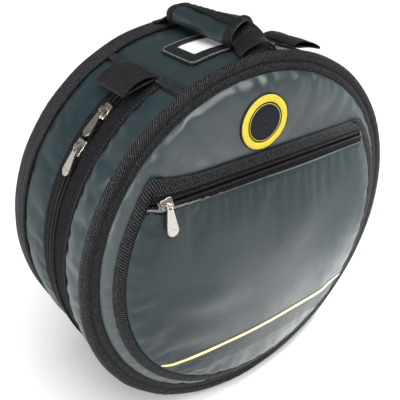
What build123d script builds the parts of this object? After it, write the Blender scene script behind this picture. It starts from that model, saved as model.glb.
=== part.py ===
from build123d import *
import os
from math import asin, atan2, cos, degrees, radians, sin, sqrt, tan

# Padded bag for a 14 inch snare drum, standing on the edge of its round rims.
# It is modelled about the drum's axis, which lies along Y, and is then moved
# so that the floor is at z = 0 and the middle of its depth is at y = 0.
# +Z is up, the lid with the pocket faces -Y, angles run from the top towards +X.

# Whole bag
rim_radius = 203.0
bag_width = 162.0
floor_sink = 1.0
rim_step = 5.0
skin = 1.2
padding = 8.0
lining = 0.8
ply_gap = 0.3
overrun = 6.0

# Rims and the pillow shape of the two round panels
rim_face_width = 18.0
rim_tape = 1.6
front_rim_strip = 6.5
back_rim_strip = 23.2
rim_round = 1.5
rim_groove = 1.0
groove_depth = 0.6
pillow = 9.0
pillow_shoulder = 7.0
rim_tuck = 1.0

# Top panel between the two cross seams
top_half_angle = 24.2
seam_binding_angle = 2.4
seam_gap_angle = 0.2

# Main zipper round the gusset
chain_offset = 12.0
back_tape_reach = 20.3
front_tape_reach = 28.9
fold_start = 7.6
fold_height = 1.2
stop_angle = 1.2

# Sizes of one zipper: tape, coil, slider and pull
main_zip = dict(
    tape=1.0, coil_width=3.6, coil_height=2.3, centre_gap=1.6, running=0.4, plate=1.2,
    length=16.0, shoulder=1.2, web_inset=0.8, lug=2.6, lug_length=10.0, eye=1.5, pin=1.1,
    eye_rise=0.5, lug_shift=0.0, play=0.15,
    arm=1.6, pull_length=30.0, pull_width=12.4, pull_neck=7.0, pull_sheet=1.8, cap_height=0.5,
)
pocket_zip = dict(
    tape=1.0, coil_width=2.4, coil_height=1.5, centre_gap=1.4, running=0.35, plate=1.0,
    length=12.0, shoulder=0.9, web_inset=0.6, lug=2.2, lug_length=6.0, eye=1.25, pin=0.95,
    eye_rise=1.0, lug_shift=2.2, play=0.2,
    arm=1.4, pull_length=29.0, pull_width=11.8, pull_neck=6.4, pull_sheet=1.6, cap_height=0.5,
)
plate_round = 0.5
upper_slider_angle = -39.5
lower_slider_angle = -51.0

# Pocket on the lid
pocket_inset = 9.5
binding_width = 10.0
binding_height = 3.2
pocket_top_inset = 93.0
mouth_drop = 20.0
mouth_stand = 12.0
pocket_crown = 16.5
pocket_edge_stand = 6.0
pocket_edge_run = 26.0
chain_share = 0.66
stripe_inset = 106.0
stripe_width = 4.0
stripe_height = 0.8

# Badge
badge_radius = 28.8
badge_ring = 8.0
badge_x = -5.0
badge_inset = 61.0
badge_sheet = 1.0

# Identity card window on the top panel
window_half_angle = 11.0
window_depth = 29.0
window_border_angle = 4.3
window_border = 13.5
window_y = -11.0
window_sheet = 0.6
card_sheet = 0.5
film_sheet = 0.4
film_lap_angle = 1.0
film_lap = 2.0
card_half_angle = 11.6
card_depth = 33.0

# Handle over the top, from rim to rim
handle_width = 36.0
webbing = 1.8
grip_stand = 15.5
grip_sheet = 20.0
grip_length = 100.0
grip_middle = 4.0
grip_round = 3.0
foot_inset_front = 9.0
foot_inset_back = 6.0
foot_length = 11.0
foot_run = 9.0
webbing_bend = 5.0
sleeve_play = 0.4
grip_binding = 8.0
grip_binding_sheet = 0.8

# Folded webbing loops at the cross seams
loop_length = 31.0
loop_width = 52.0
loop_slot = 7.0
loop_sheet = 1.5
left_loop_lift = 4.0
right_loop_lift = 16.0

# Sizes worked out from those above
half_width = bag_width / 2
plateau = half_width + pillow
gusset_radius = rim_radius - rim_step
rim_inner = rim_radius - rim_face_width
pocket_radius = rim_inner - pocket_inset
pocket_top = rim_radius - pocket_top_inset
stripe_drop = rim_radius - stripe_inset
badge_rise = rim_radius - badge_inset
grip_rise = rim_radius + grip_stand
grip_front = grip_middle - grip_length / 2
grip_back = grip_middle + grip_length / 2
foot_front = foot_inset_front - half_width
foot_back = half_width - foot_inset_back
shoulder_radius = rim_inner - pillow_shoulder - rim_tuck
floor_level = -(rim_radius - floor_sink)
padding_outer = gusset_radius - skin - ply_gap
padding_inner = padding_outer - padding
lining_outer = padding_inner - ply_gap
lining_inner = lining_outer - lining
tape_inner = gusset_radius + ply_gap
tape_outer = tape_inner + main_zip["tape"]
chain_y = -chain_offset
skin_edge = half_width - rim_tape - ply_gap
padding_edge = skin_edge - skin - ply_gap
lining_edge = padding_edge - padding - ply_gap
inner_edge = lining_edge - lining
seam_angle = top_half_angle + seam_gap_angle
gusset_angle = seam_angle + seam_binding_angle + seam_gap_angle
chain_top = tape_outer + ply_gap + main_zip["coil_height"]
pocket_edge = pocket_radius - binding_width - ply_gap
mouth_foot = pocket_top - mouth_drop
mouth_slant = sqrt(mouth_drop ** 2 + mouth_stand ** 2)
pocket_slope = degrees(atan2(mouth_stand, mouth_drop))


def plane_across(back):
    """A plane square to the drum's axis, seen from the front, at a place along Y."""
    return Plane(origin=(0, back, 0), x_dir=(1, 0, 0), z_dir=(0, -1, 0))


def prism(plane, outline, height):
    """A flat outline drawn out square to its plane."""
    return extrude(plane * outline, amount=height, dir=plane.z_dir)


def drum(radius, front, back):
    """A round disc about the drum's axis, from front to back."""
    return prism(plane_across(back), Circle(radius), back - front)


def ring(outer, inner, front, back):
    return drum(outer, front, back) - drum(inner, front - overrun, back + overrun)


def sector(start, end, front, back):
    """A wedge about the drum's axis between two angles less than half a turn apart."""
    reach = 2 * rim_radius
    corners = [(0, 0)]
    for angle in (start, (start + end) / 2, end):
        corners.append((reach * sin(radians(angle)), reach * cos(radians(angle))))
    return prism(plane_across(back), Polygon(*corners, align=None), back - front)


def top_sector(half_angle):
    reach = bag_width + overrun
    return sector(-half_angle, half_angle, -reach, reach)


def arc_piece(outer, inner, start, end, front, back):
    return ring(outer, inner, front, back) & sector(start, end, front - overrun, back + overrun)


def open_ring(outer, inner, front, back):
    """A ring round the gusset, open at the top where the top panel sits."""
    return ring(outer, inner, front, back) - top_sector(gusset_angle)


def turned(points):
    """A solid turned about the drum's axis from points of radius and place along Y."""
    profile = Plane.XY * make_face(Polyline(*points, close=True))
    return revolve(profile, Axis.Y)


def pressed_flat(solid):
    """The weight of the bag presses its rims flat on the floor."""
    size = 4 * rim_radius
    below = Pos(0, 0, floor_level - size / 2) * Box(size, size, size)
    return solid - below


def round_panel(side, depth, sheet, edge):
    """One layer of a round end panel, at a depth under the outer face."""
    foot = rim_inner - rim_tuck
    high = plateau - depth
    low = skin_edge - depth
    outline = [
        (0, high), (shoulder_radius, high), (foot, low), (edge, low),
        (edge, low - sheet), (foot, low - sheet), (shoulder_radius, high - sheet), (0, high - sheet),
    ]
    return turned([(r, side * stand) for r, stand in outline])


def end_panels(side):
    """Skin, padding and lining of one end of the bag."""
    padding_depth = skin + ply_gap
    lining_depth = padding_depth + padding + ply_gap
    edge = gusset_radius - skin - ply_gap
    return (
        round_panel(side, 0, skin, edge),
        round_panel(side, padding_depth, padding, edge),
        round_panel(side, lining_depth, lining, lining_inner - ply_gap),
    )


def rim_band(side, strip):
    """Woven band folded over a rim, with a stitched groove in each face."""
    face = ring(rim_radius, rim_inner, half_width - rim_tape, half_width)
    leg = ring(rim_radius, gusset_radius + ply_gap, half_width - strip, half_width)
    band = face + leg
    band = fillet(outer_rim_edges(band), rim_round)
    middle = (rim_radius + rim_inner) / 2
    face_groove = ring(middle + rim_groove / 2, middle - rim_groove / 2, half_width - groove_depth,
                       half_width + overrun)
    band = band - face_groove
    leg_line = half_width - strip + front_rim_strip
    if strip > 2 * front_rim_strip:
        band = band - ring(rim_radius + overrun, rim_radius - groove_depth, leg_line,
                           leg_line + rim_groove)
    if side < 0:
        band = mirror(band, Plane.XZ)
    return pressed_flat(band)


def outer_rim_edges(band):
    """The two round edges of the widest part of a band."""
    edges = band.edges().filter_by(GeomType.CIRCLE)
    return [e for e in edges if abs(e.radius - rim_radius) < ply_gap]


def gusset_half(front, back):
    """Skin, padding and lining of the gusset between two places along Y."""
    skin_front = -skin_edge if front < chain_y else chain_y + fold_start
    skin_back = chain_y - fold_start if front < chain_y else skin_edge
    deep_front = -(lining_edge - ply_gap) if front < chain_y else front
    deep_back = back if front < chain_y else lining_edge - ply_gap
    lining_front = -(inner_edge - ply_gap) if front < chain_y else front
    lining_back = back if front < chain_y else inner_edge - ply_gap
    return (
        open_ring(gusset_radius, gusset_radius - skin, skin_front, skin_back),
        open_ring(padding_outer, padding_inner, deep_front, deep_back),
        open_ring(lining_outer, lining_inner, lining_front, lining_back),
    )


def top_panel():
    """The three layers of the top panel, which joins the back half only."""
    front = -(half_width - front_rim_strip - ply_gap)
    angle = top_half_angle
    deep = lining_edge - ply_gap
    inner = inner_edge - ply_gap
    return (
        arc_piece(gusset_radius, gusset_radius - skin, -angle, angle, front, skin_edge),
        arc_piece(padding_outer, padding_inner, -gusset_angle + seam_gap_angle,
                  gusset_angle - seam_gap_angle, -deep, deep),
        arc_piece(lining_outer, lining_inner, -gusset_angle + seam_gap_angle,
                  gusset_angle - seam_gap_angle, -inner, inner),
    )


def cross_seam(side):
    """Bound seam across the gusset, where the zipper ends."""
    start = side * seam_angle
    end = side * (seam_angle + seam_binding_angle)
    front = -(half_width - front_rim_strip - ply_gap)
    back = half_width - back_rim_strip - ply_gap
    return arc_piece(chain_top, gusset_radius - skin,
                     min(start, end), max(start, end), front, back)


def main_tapes():
    """The zipper's two tapes; the back one has a folded edge beside the chain."""
    gap = main_zip["centre_gap"] / 2
    back_end = chain_y + back_tape_reach
    back = open_ring(tape_outer, tape_inner, chain_y + gap, back_end)
    back = back + open_ring(tape_outer + fold_height, tape_outer, chain_y + fold_start, back_end)
    front = open_ring(tape_outer, tape_inner, chain_y - front_tape_reach, chain_y - gap)
    return back, front


def main_coils():
    """Two coils that meet along the middle of the chain."""
    gap = main_zip["centre_gap"] / 2
    width = main_zip["coil_width"]
    inner = tape_outer + ply_gap
    outer = chain_top
    start = gusset_angle + stop_angle + seam_gap_angle
    coils = []
    for near, far in ((chain_y + gap, chain_y + gap + width), (chain_y - gap - width, chain_y - gap)):
        coil = ring(outer, inner, near, far)
        edges = coil.edges().filter_by(GeomType.CIRCLE)
        coil = fillet([e for e in edges if abs(e.radius - outer) < ply_gap / 2],
                      main_zip["coil_height"] / 3)
        coils.append(coil - top_sector(start))
    return coils


def main_stops():
    """Metal stops at the two ends of the chain, on the back tape's side."""
    gap = main_zip["centre_gap"] / 2
    inner = tape_outer + ply_gap
    near = chain_y + gap
    stops = []
    for side in (-1, 1):
        start = side * gusset_angle
        end = side * (gusset_angle + stop_angle)
        stops.append(arc_piece(chain_top, inner, min(start, end), max(start, end), near,
                               near + main_zip["coil_width"]))
    return Compound(stops)


def slider_plan(zip_size):
    """Outline of a slider's plates, wider at the mouth, which is at +X."""
    half = zip_half_width(zip_size)
    wide = half + zip_size["shoulder"]
    rear = -zip_size["length"] / 2
    mouth = zip_size["length"] / 2
    waist = zip_size["length"] / 8
    corner = zip_size["shoulder"]
    points = [
        (rear, half - corner), (rear + corner, half), (-waist, half), (waist, wide),
        (mouth - corner, wide), (mouth, wide - corner),
    ]
    lower = [(x, -y) for x, y in reversed(points)]
    return Polygon(*points, *lower, align=None)


def zip_half_width(zip_size):
    channel = zip_size["centre_gap"] / 2 + zip_size["coil_width"] + zip_size["running"]
    return channel + zip_size["plate"]


def slider_top(zip_size):
    """Height of a slider's upper plate over the tape."""
    return ply_gap + zip_size["coil_height"] + zip_size["running"] + zip_size["plate"]


def pin_height(zip_size):
    return slider_top(zip_size) + zip_size["eye"] + zip_size["eye_rise"]


def pull_lean(zip_size, reach, level):
    """Steepest lean of a pull that clears an edge at a reach and level from its pin."""
    rise = pin_height(zip_size) - level - zip_size["play"]
    half = zip_size["pull_sheet"] / 2
    return degrees(atan2(rise, reach) - asin(half / sqrt(rise ** 2 + reach ** 2)))


def slider(zip_size, lug_turn):
    """Hollow slider over its chain; the tape's upper face is at z = 0, the mouth at +X."""
    plate = zip_size["plate"]
    running = zip_size["running"]
    top = slider_top(zip_size)
    bottom = -(zip_size["tape"] + running + plate)
    body = prism(Plane.XY.offset(bottom), slider_plan(zip_size), top - bottom)
    body = fillet(body.faces().sort_by(Axis.Z)[-1].edges(), plate_round)
    long = zip_size["length"] + 2 * overrun
    inside = 2 * (zip_half_width(zip_size) - plate)
    low = -(zip_size["tape"] + running)
    high = top - plate
    channel = Pos(0, 0, (low + high) / 2) * Box(long, inside, high - low)
    wide = 2 * (zip_half_width(zip_size) + zip_size["shoulder"] + overrun)
    slot_top = running
    slot = Pos(0, 0, (low + slot_top) / 2) * Box(long, wide, slot_top - low)
    body = body - channel - slot
    web_length = zip_size["length"] / 2 - zip_size["web_inset"]
    web_sheet = zip_size["centre_gap"] - 2 * ply_gap
    web = Pos(web_length / 2, 0, (low + high) / 2) * Box(web_length, web_sheet, high - low)
    place = Pos(0, 0, top) * Rot(0, 0, lug_turn) * Pos(-zip_size["lug_shift"], 0, 0)
    body = body + web + place * lug(zip_size)
    return body


def lug(zip_size):
    """Arched bridge on a slider's back, with the eye that the pull's pin runs in."""
    eye_height = pin_height(zip_size) - slider_top(zip_size)
    half = zip_size["lug_length"] / 2
    crown = eye_height + zip_size["eye"] + zip_size["plate"]
    arch = make_face(Polyline((-half, 0), (-half / 2, crown), (half / 2, crown), (half, 0), close=True))
    arch = fillet(arch.vertices().sort_by(Axis.Y)[-2:], crown / 4)
    arch = arch - Pos(0, eye_height) * Circle(zip_size["eye"])
    return prism(Plane.XZ.offset(-zip_size["lug"] / 2), arch, zip_size["lug"])


def pull(zip_size):
    """Pull tab along +X from its pin, which lies along Y through the origin."""
    neck = zip_size["pull_neck"] / 2
    broad = zip_size["pull_width"] / 2
    arm = zip_size["arm"]
    sheet = zip_size["pull_sheet"]
    clear = zip_size["lug"] / 2 + zip_size["running"]
    eye_room = zip_size["lug_length"] / 2 + zip_size["running"]
    centre = zip_size["pull_length"] - broad
    side = clear + arm
    outline = Polyline((-arm, side), (-arm, -side), (eye_room, -side), (eye_room + arm, -neck), (centre, -broad))
    tip = RadiusArc((centre, -broad), (centre, broad), -broad)
    back = Polyline((centre, broad), (eye_room + arm, neck), (eye_room, side), (-arm, side))
    plan = make_face(outline + tip + back)
    plan = plan - Pos((eye_room - arm) / 2 - overrun / 2) * Rectangle(eye_room + arm + overrun, 2 * clear)
    tab = prism(Plane.XY.offset(-sheet / 2), plan, sheet)
    pin = Rot(90, 0, 0) * Cylinder(zip_size["pin"], 2 * side)
    cap_plan = Pos(centre) * Circle(broad - arm / 2)
    cap_plan = cap_plan - Pos(centre - broad) * Rectangle(2 * broad, 2 * broad)
    cap = prism(Plane.XY.offset(sheet / 2), cap_plan, zip_size["cap_height"])
    return tab + pin + cap


def gusset_frame(angle, lift):
    """A frame on the zipper tape: x runs down the left side, z points outwards."""
    a = radians(angle)
    radius = tape_outer + lift
    return Plane(
        origin=(radius * sin(a), chain_y, radius * cos(a)),
        x_dir=(-cos(a), 0, sin(a)),
        z_dir=(sin(a), 0, cos(a)),
    ).location


def placed_main_slider(angle, mouth):
    turn = Rot(0, 0, 0) if mouth > 0 else Rot(0, 0, 180)
    return gusset_frame(angle, 0) * turn * slider(main_zip, 0)


def placed_main_pull(angle):
    """The pull lies down the gusset, on the end of its slider."""
    lean = pull_lean(main_zip, main_zip["length"] / 2, slider_top(main_zip))
    return gusset_frame(angle, pin_height(main_zip)) * Rot(0, lean, 0) * pull(main_zip)


def pocket_frame(x, lift):
    """A frame on the pocket's zipper: x runs to the right, z points outwards."""
    slope = radians(pocket_slope)
    along = chain_share * mouth_slant
    y = -plateau - ply_gap - pocket_zip["tape"] - along * sin(slope) - lift * cos(slope)
    z = pocket_top - along * cos(slope) + lift * sin(slope)
    return Plane(origin=(x, y, z), x_dir=(1, 0, 0), z_dir=(0, -cos(slope), sin(slope))).location


def above_chord(level):
    """Everything above a height over the drum's axis."""
    size = 4 * rim_radius
    return Pos(0, 0, level + size / 2) * Box(size, size, size)


def below_chord(level):
    """Everything below a height over the drum's axis."""
    size = 4 * rim_radius
    return Pos(0, 0, level - size / 2) * Box(size, size, size)


def pocket_stand(radius):
    """Height of the pocket's outer face over the panel, at a radius."""
    inner = pocket_edge - pocket_edge_run
    if radius >= inner:
        share = min(1, (radius - inner) / pocket_edge_run)
        return pocket_edge_stand + (mouth_stand - pocket_edge_stand) * sqrt(1 - share ** 2)
    return mouth_stand + (pocket_crown - mouth_stand) * (1 - (radius / inner) ** 2)


def pocket_shell(lift, sheet, foot):
    """The pocket's puffed shape as a turned sheet, lifted off its own outer face."""
    inner = pocket_edge - pocket_edge_run
    crown_shares = (0, 0.4, 0.75)
    edge_shares = (0, 0.2, 0.4, 0.6, 0.75, 0.87, 0.95, 1)
    radii = [inner * s for s in crown_shares] + [inner + pocket_edge_run * s for s in edge_shares]
    outer = [(r, -plateau - pocket_stand(r) - lift) for r in radii]
    under = [(r, y + sheet) for r, y in outer if r < pocket_edge - sheet]
    wall = pocket_edge - sheet
    turn = (wall, outer[-1][1] + sheet / 2)
    return turned(outer + [(pocket_edge, foot), (wall, foot), turn] + under[::-1])


def pocket_panel():
    """Puffed front of the pocket, cut straight along its mouth, with its end walls."""
    shell = pocket_shell(0, skin, -plateau - ply_gap) & below_chord(mouth_foot)
    wall = ring(pocket_edge, pocket_edge - skin, -plateau - pocket_crown, -plateau - ply_gap)
    wall = wall & below_chord(pocket_top - ply_gap) & above_chord(mouth_foot - skin)
    size = 4 * rim_radius
    under_tape = -pocket_zip["tape"] - ply_gap
    beyond = pocket_frame(0, under_tape) * Pos(0, 0, size / 2) * Box(size, size, size)
    return shell + (wall - beyond)


def pocket_binding():
    band = ring(pocket_radius, pocket_radius - binding_width, -plateau - binding_height,
                -plateau - ply_gap)
    return band - above_chord(pocket_top)


def within_binding(solid):
    """The zipper's ends are cut to the curve of the binding."""
    return solid & drum(pocket_edge, -2 * plateau, 0)


def chain_half():
    """Half the length of the pocket's chain, end to end of its stops."""
    level = pocket_top - chain_share * mouth_drop + pocket_zip["coil_width"]
    return sqrt(pocket_edge ** 2 - level ** 2) - 2 * skin


def pocket_tapes():
    """Upper and lower tape on the pocket's sloping mouth."""
    zip_size = pocket_zip
    sheet = zip_size["tape"]
    gap = zip_size["centre_gap"] / 2
    corner = ply_gap + sheet * tan(radians(pocket_slope))
    tapes = []
    for side, reach in ((1, chain_share), (-1, 1 - chain_share)):
        width = reach * mouth_slant - gap - corner
        tape = Box(2 * pocket_radius, width, sheet)
        tape = Pos(0, side * (gap + width / 2), -sheet / 2) * tape
        tapes.append(within_binding(pocket_frame(0, 0) * tape))
    return tapes


def pocket_coils():
    zip_size = pocket_zip
    long = 2 * chain_half() - 2 * stop_length()
    offset = (zip_size["centre_gap"] + zip_size["coil_width"]) / 2
    height = zip_size["coil_height"]
    coils = []
    for side in (1, -1):
        coil = Box(long, zip_size["coil_width"], height)
        coil = fillet(coil.faces().sort_by(Axis.Z)[-1].edges().filter_by(Axis.X), height / 3)
        coils.append(pocket_frame(0, 0) * Pos(0, side * offset, height / 2 + ply_gap) * coil)
    return coils


def stop_length():
    return pocket_zip["coil_width"]


def pocket_stops():
    zip_size = pocket_zip
    width = 2 * zip_size["coil_width"] + zip_size["centre_gap"]
    stops = []
    for side in (-1, 1):
        stop = Box(stop_length() - ply_gap, width, zip_size["coil_height"])
        x = side * (chain_half() - stop_length() / 2)
        stops.append(pocket_frame(x, ply_gap + zip_size["coil_height"] / 2) * stop)
    return Compound(stops)


def pocket_slider_x():
    """The slider rests against the stop at the left end of its chain."""
    return -(chain_half() - stop_length() - pocket_zip["length"] / 2 - ply_gap)


def placed_pocket_pull():
    """The pull hangs down over the slider's edge and the zipper's lower tape."""
    shift = pocket_zip["lug_shift"]
    side_reach = zip_half_width(pocket_zip) + pocket_zip["shoulder"] - shift
    tape_reach = (1 - chain_share) * mouth_slant - shift
    lean = min(pull_lean(pocket_zip, side_reach, slider_top(pocket_zip)),
               pull_lean(pocket_zip, tape_reach, ply_gap))
    place = pocket_frame(pocket_slider_x(), pin_height(pocket_zip)) * Pos(0, -shift, 0)
    return place * Rot(0, 0, -90) * Rot(0, lean, 0) * pull(pocket_zip)


def stripe_trim():
    """Thin raised stripe across the pocket's lower part."""
    foot = -plateau - pocket_edge_stand + stripe_height
    shell = pocket_shell(ply_gap + stripe_height, stripe_height, foot)
    size = 4 * rim_radius
    slab = Pos(0, 0, -stripe_drop) * Box(size, size, stripe_width)
    return shell & slab & drum(pocket_edge - 2 * skin, -2 * plateau, 0)


def badge():
    """Round patch with a raised border."""
    plane = plane_across(-plateau - ply_gap)
    place = Pos(badge_x, badge_rise)
    patch = prism(plane, place * Circle(badge_radius), badge_sheet)
    border_plane = plane_across(-plateau - ply_gap - badge_sheet)
    border = place * Circle(badge_radius) - place * Circle(badge_radius - badge_ring)
    return patch, prism(border_plane, border, badge_sheet / 2)


def window_parts():
    """Card window: a frame open at its right end, a clear film and the card."""
    half = window_depth / 2
    card_inner = gusset_radius + ply_gap
    card_outer = card_inner + card_sheet
    card = arc_piece(card_outer, card_inner, -card_half_angle, card_half_angle,
                     window_y - card_depth / 2, window_y + card_depth / 2)
    film_inner = card_outer + ply_gap
    film_outer = film_inner + film_sheet
    film_angle = window_half_angle + film_lap_angle
    film = arc_piece(film_outer, film_inner, -film_angle, film_angle,
                     window_y - half - film_lap, window_y + half + film_lap)
    lid_inner = film_outer + ply_gap
    lid_outer = lid_inner + window_sheet
    outer_angle = window_half_angle + window_border_angle
    reach = half + window_border
    frame = arc_piece(lid_outer, card_inner, -outer_angle, outer_angle,
                      window_y - reach, window_y + reach)
    sight = arc_piece(lid_outer + overrun, card_inner - overrun, -window_half_angle,
                      window_half_angle, window_y - half, window_y + half)
    cavity = half + film_lap + ply_gap
    room = arc_piece(lid_inner, card_inner - overrun, -film_angle - seam_gap_angle,
                     outer_angle + seam_gap_angle, window_y - cavity, window_y + cavity)
    return frame - sight - room, film, card


def grip_section(sheet, inflate):
    return Ellipse(handle_width / 2 + inflate, sheet / 2 + inflate)


def handle_grip():
    """Padded sleeve round the webbing, with a slot for the webbing."""
    outline = Pos(0, grip_rise) * grip_section(grip_sheet, 0)
    body = prism(plane_across(grip_back), outline, grip_back - grip_front)
    body = fillet(body.edges().filter_by(GeomType.ELLIPSE), grip_round)
    slot = Pos(0, (grip_front + grip_back) / 2, grip_rise) * Box(
        webbing_width() + 2 * sleeve_play, grip_back - grip_front + 2 * overrun,
        webbing + 2 * sleeve_play)
    return body - slot


def webbing_width():
    return handle_width - grip_round - 2 * sleeve_play


def grip_bindings():
    """Bindings round the two ends of the grip."""
    rings = []
    for front in (grip_front + grip_round, grip_back - grip_round - grip_binding):
        plane = plane_across(front + grip_binding)
        outer = Pos(0, grip_rise) * grip_section(grip_sheet, ply_gap + grip_binding_sheet)
        inner = Pos(0, grip_rise) * grip_section(grip_sheet, ply_gap)
        rings.append(prism(plane, outer - inner, grip_binding))
    return rings


def handle_webbing():
    """One strap, sewn down at the front edge of the top panel and on the back rim."""
    front_level = gusset_radius + ply_gap + webbing / 2
    back_level = rim_radius + ply_gap + webbing / 2
    front_end = foot_front + foot_length
    back_start = foot_back - foot_length
    route = FilletPolyline(
        (foot_front, front_level), (front_end, front_level), (front_end + foot_run, grip_rise),
        (back_start - foot_run / 2, grip_rise), (back_start, back_level), (foot_back, back_level),
        radius=webbing_bend)
    return prism(Plane.YZ.offset(-webbing_width() / 2), trace(route, webbing), webbing_width())


def strap_loop(side, lift):
    """Folded webbing loop, sewn into a cross seam, that lies over the end of the chain."""
    half_height = loop_slot / 2 + loop_sheet
    outline = SlotOverall(loop_length, 2 * half_height)
    hole = SlotOverall(loop_length - 2 * loop_sheet, loop_slot)
    tube = prism(plane_across(loop_width / 2), outline - hole, loop_width)
    angle = side * loop_angle()
    a = radians(angle)
    radius = chain_top + ply_gap
    spot = Pos(radius * sin(a), chain_y + loop_middle(), radius * cos(a))
    inset = Pos(side * (loop_length / 2 - half_height), 0, half_height)
    return spot * Rot(0, angle - side * lift, 0) * inset * tube


def loop_angle():
    """Where a loop leaves its seam: over the middle of the seam's binding."""
    return seam_angle + seam_binding_angle / 2


def loop_middle():
    """The loops sit with their middle a little behind the chain."""
    return fold_start - main_zip["centre_gap"]


def build_parts():
    parts = {}
    parts["back_panel"], parts["back_padding"], parts["back_lining"] = end_panels(1)
    parts["front_panel"], parts["front_padding"], parts["front_lining"] = end_panels(-1)
    split = ply_gap / 2
    back_layers = gusset_half(chain_y + split, half_width)
    front_layers = gusset_half(-half_width, chain_y - split)
    for name, piece in zip(("gusset", "gusset_padding", "gusset_lining"), back_layers):
        parts["back_" + name] = piece
    for name, piece in zip(("gusset", "gusset_padding", "gusset_lining"), front_layers):
        parts["front_" + name] = piece
    parts["top_panel"], parts["top_padding"], parts["top_lining"] = top_panel()
    parts["left_cross_seam"] = cross_seam(-1)
    parts["right_cross_seam"] = cross_seam(1)
    parts["back_rim_band"] = rim_band(1, back_rim_strip)
    parts["front_rim_band"] = rim_band(-1, front_rim_strip)
    parts["back_zipper_tape"], parts["front_zipper_tape"] = main_tapes()
    parts["back_zipper_coil"], parts["front_zipper_coil"] = main_coils()
    parts["main_zipper_stops"] = main_stops()
    parts["upper_slider"] = placed_main_slider(upper_slider_angle, 1)
    parts["upper_pull"] = placed_main_pull(upper_slider_angle)
    parts["lower_slider"] = placed_main_slider(lower_slider_angle, -1)
    parts["lower_pull"] = placed_main_pull(lower_slider_angle)
    parts["pocket_panel"] = pocket_panel()
    parts["pocket_binding"] = pocket_binding()
    parts["pocket_upper_tape"], parts["pocket_lower_tape"] = pocket_tapes()
    parts["pocket_upper_coil"], parts["pocket_lower_coil"] = pocket_coils()
    parts["pocket_zipper_stops"] = pocket_stops()
    parts["pocket_slider"] = pocket_frame(pocket_slider_x(), 0) * slider(pocket_zip, 90)
    parts["pocket_pull"] = placed_pocket_pull()
    parts["stripe_trim"] = stripe_trim()
    parts["badge_patch"], parts["badge_border"] = badge()
    parts["card_window_frame"], parts["card_window_film"], parts["identity_card"] = window_parts()
    parts["handle_grip"] = handle_grip()
    parts["grip_binding_front"], parts["grip_binding_back"] = grip_bindings()
    parts["handle_webbing"] = handle_webbing()
    parts["left_strap_loop"] = strap_loop(-1, left_loop_lift)
    parts["right_strap_loop"] = strap_loop(1, right_loop_lift)
    return parts


def place_and_export(parts):
    """Stand the bag on the floor, with the middle of its depth over the origin."""
    boxes = [piece.bounding_box() for piece in parts.values()]
    front = min(box.min.Y for box in boxes)
    back = max(box.max.Y for box in boxes)
    middle = (front + back) / 2
    print("middle of the depth, before placing:", round(middle, 4))
    os.makedirs("parts", exist_ok=True)
    for name, piece in parts.items():
        placed = Pos(0, -middle, -floor_level) * piece
        export_step(placed, "parts/" + name + ".step")


place_and_export(build_parts())
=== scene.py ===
import math

import bmesh
import bpy
import numpy as np
from mathutils import Matrix, Vector
from mathutils.bvhtree import BVHTree

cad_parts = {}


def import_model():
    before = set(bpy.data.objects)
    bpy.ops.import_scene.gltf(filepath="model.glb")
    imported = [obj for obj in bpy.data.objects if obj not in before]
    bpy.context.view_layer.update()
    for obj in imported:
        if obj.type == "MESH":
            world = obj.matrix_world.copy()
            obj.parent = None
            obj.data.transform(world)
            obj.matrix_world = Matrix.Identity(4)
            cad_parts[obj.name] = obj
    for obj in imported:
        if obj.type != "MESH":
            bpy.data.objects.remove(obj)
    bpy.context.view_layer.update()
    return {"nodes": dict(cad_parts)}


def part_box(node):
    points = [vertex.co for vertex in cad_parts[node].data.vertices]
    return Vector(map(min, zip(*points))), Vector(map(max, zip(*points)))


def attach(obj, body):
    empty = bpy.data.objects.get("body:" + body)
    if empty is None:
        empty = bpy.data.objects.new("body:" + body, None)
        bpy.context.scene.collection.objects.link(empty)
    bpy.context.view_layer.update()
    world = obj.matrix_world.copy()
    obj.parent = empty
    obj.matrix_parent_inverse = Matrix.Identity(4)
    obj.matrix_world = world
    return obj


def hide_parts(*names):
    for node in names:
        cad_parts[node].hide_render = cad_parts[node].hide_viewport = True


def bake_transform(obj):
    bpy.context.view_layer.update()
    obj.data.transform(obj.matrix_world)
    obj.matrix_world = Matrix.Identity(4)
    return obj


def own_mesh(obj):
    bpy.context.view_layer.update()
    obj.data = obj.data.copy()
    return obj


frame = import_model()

# Places are in millimetres about the drum's axis, which lies along Y: the lid
# faces -Y, +Z is up and angles run from the top towards +X. world() stands them
# on the floor, in metres.
MM = 0.001
TURN = math.tau
RIM = 203.0
HALF = 81.0
back_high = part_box("back_rim_band")[1]
SHIFT = back_high[1] / MM - HALF
LIFT = back_high[2] / MM - RIM
FLOOR = -LIFT

FACE_INNER = 185.0
COVER_R = 186.6
PLATEAU = 90.0
SHEET = 1.2
GUSSET = 198.0
TAPE_IN, TAPE_OUT = 198.3, 199.3
CHAIN_Y = -12.0
COIL_R = 199.6
TOP_ANGLE = 24.0
SEAM_ANGLE = 24.4
SEAM_TOP = 201.6
OPEN_ANGLE = 25.8
WINDOW_SHIFT = -4.0
GRIP_Z = 214.5
GRIP_FRONT, GRIP_BACK, GRIP_WIDE, GRIP_HIGH = -47.0, 57.0, 15.8, 9.0
GRIP_LONG = GRIP_BACK - GRIP_FRONT
POCKET_R = 175.5
POCKET_EDGE = 165.2
FOLD_Z = 90.0
MOUTH_Z = 110.0
MOUTH_STAND = 12.0
SLOPE_Y, SLOPE_Z = -0.857, 0.515
SLOPE_UP, SLOPE_OUT = (0, 0.5145, 0.8575), (0, -0.8575, 0.5145)
SLOPE_LONG = 23.3
STRIPE_Z = -97.0
BADGE = (-5.0, 142.0)


# --- mesh helpers ---

def world(points):
    return (np.asarray(points, float).reshape(-1, 3) + (0, SHIFT, LIFT)) * MM


def polar(angle, radius, y):
    """Points at an angle from the top, a radius and a place along the axis."""
    a = np.radians(angle)
    return np.stack(np.broadcast_arrays(radius * np.sin(a), y, radius * np.cos(a)), -1)


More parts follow.
